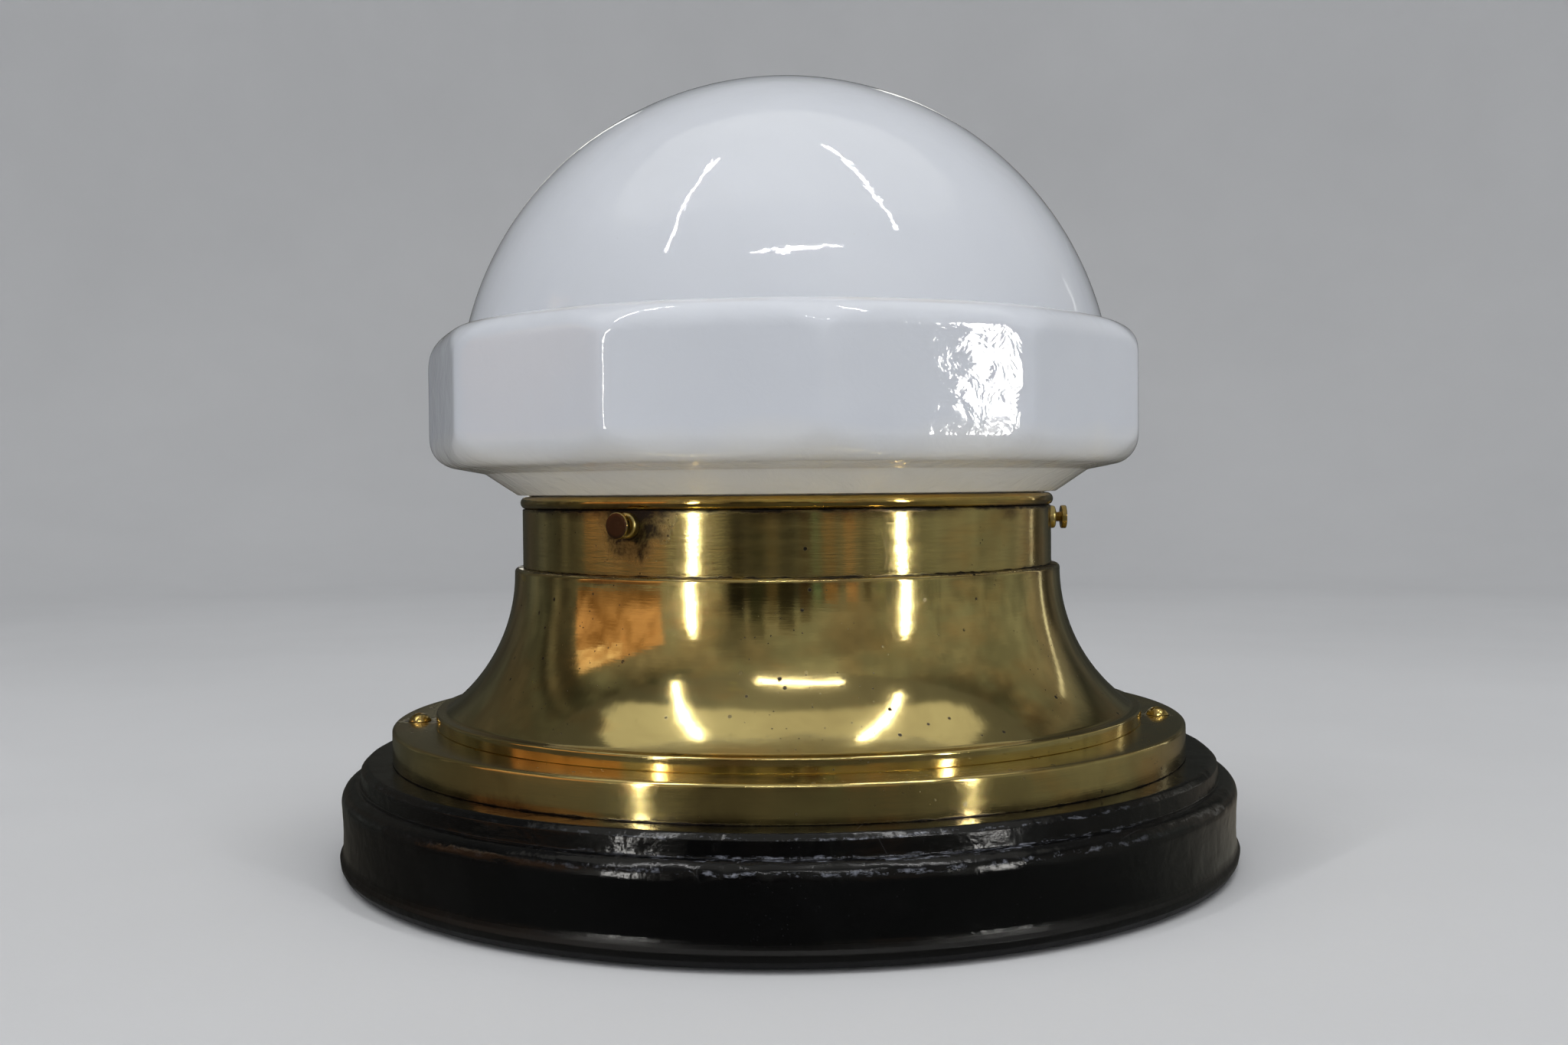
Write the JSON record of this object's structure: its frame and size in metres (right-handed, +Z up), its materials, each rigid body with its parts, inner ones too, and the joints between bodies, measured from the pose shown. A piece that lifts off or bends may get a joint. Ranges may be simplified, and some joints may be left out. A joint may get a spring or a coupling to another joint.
{
  "type": "table lamp",
  "caption": "Table lamp with an opal glass globe cut in flats, held by thumbscrews in a brass gallery on a flared brass body and a painted plinth.",
  "frame": {"origin": "middle of the felt's underside, on the surface the lamp stands on", "axes": "+Z up along the lamp's axis, front of the lamp towards -Y, +X to the right seen from the front"},
  "size_m": [0.3336, 0.3336, 0.2884],
  "materials": {
    "black_paint": "turned wood under thick glossy black paint, worn at the edges",
    "felt": "dark green felt",
    "brass_aged": "aged olive brass, brushed round, with dark pits",
    "brass_bright": "polished by handling",
    "opal_glass": "glossy opal white, cut in twelve flats",
    "clear_glass": "clear bulb glass",
    "porcelain": "glazed off-white porcelain",
    "steel": "zinc plated",
    "cork": "cork seat ring",
    "tip_fibre": "red-brown vulcanised fibre",
    "lead_brown": "brown insulation",
    "lead_black": "black insulation",
    "black_glass": "black vitrite insulator",
    "solder": "soft solder",
    "tungsten": "dull wire"
  },
  "bodies": {
    "stand": {"plinth": "black_paint", "felt_pad": "felt", "cable_bush": "brass_aged", "base_flange": "brass_aged", "flange_screws": "brass_bright", "body_screws": "steel", "flared_body": "brass_aged", "collar": "brass_aged", "gallery_cup": "brass_bright", "seat_ring": "cork", "screw_bosses": "brass_aged", "cross_bar": "steel", "bar_screws": "steel", "nipple": "steel", "nipple_nuts": "steel", "holder_base": "porcelain", "contact_block": "porcelain", "centre_contact": "brass_bright", "screw_shell": "brass_bright", "terminal_screws": "brass_bright", "holder_skirt": "porcelain", "terminal_block": "porcelain", "block_screw": "steel", "lead_live": "lead_brown", "lead_neutral": "lead_black"},
    "shade": {"shade": "opal_glass"},
    "bulb": {"bulb_glass": "clear_glass", "bulb_cap": "brass_bright", "bulb_insulator": "black_glass", "bulb_contact": "solder", "bulb_stem": "clear_glass", "filament": "tungsten"},
    "tip_1": {"screw_tip_1": "tip_fibre"},
    "thumb_1": {"thumbscrew_1": "brass_bright"},
    "tip_2": {"screw_tip_2": "tip_fibre"},
    "thumb_2": {"thumbscrew_2": "brass_bright"},
    "tip_3": {"screw_tip_3": "tip_fibre"},
    "thumb_3": {"thumbscrew_3": "brass_bright"}
  },
  "joints": [
    {"name": "shade_lift", "type": "slide", "parent": "stand", "child": "shade", "axis": [0, 0, 1], "range_m": [0, 0.1]},
    {"name": "bulb_draw", "type": "slide", "parent": "stand", "child": "bulb", "axis": [0, 0, 1], "range_m": [0, 0.03]},
    {"name": "thumb_1_travel", "type": "slide", "parent": "stand", "child": "tip_1", "axis": [0.5225, 0.8526, 0], "range_m": [-0.0035, 0.00154]},
    {"name": "thumb_1_turn", "type": "hinge", "parent": "tip_1", "child": "thumb_1", "pos_m": [-0.05518, -0.09004, 0.1234], "axis": [0.5225, 0.8526, 0], "range_deg": [-1800, 792]},
    {"name": "thumb_2_travel", "type": "slide", "parent": "stand", "child": "tip_2", "axis": [-0.9997, 0.0262, 0], "range_m": [-0.0035, 0.00154]},
    {"name": "thumb_2_turn", "type": "hinge", "parent": "tip_2", "child": "thumb_2", "pos_m": [0.10556, -0.00276, 0.1234], "axis": [-0.9997, 0.0262, 0], "range_deg": [-1800, 792]},
    {"name": "thumb_3_travel", "type": "slide", "parent": "stand", "child": "tip_3", "axis": [0.4772, -0.8788, 0], "range_m": [-0.0035, 0.00154]},
    {"name": "thumb_3_turn", "type": "hinge", "parent": "tip_3", "child": "thumb_3", "pos_m": [-0.05039, 0.0928, 0.1234], "axis": [0.4772, -0.8788, 0], "range_deg": [-1800, 792]}
  ],
  "couplings": [
    {"joint": "thumb_1_turn", "follows": "thumb_1_travel", "rad_per_m": 8976},
    {"joint": "thumb_2_turn", "follows": "thumb_2_travel", "rad_per_m": 8976},
    {"joint": "thumb_3_turn", "follows": "thumb_3_travel", "rad_per_m": 8976}
  ]
}
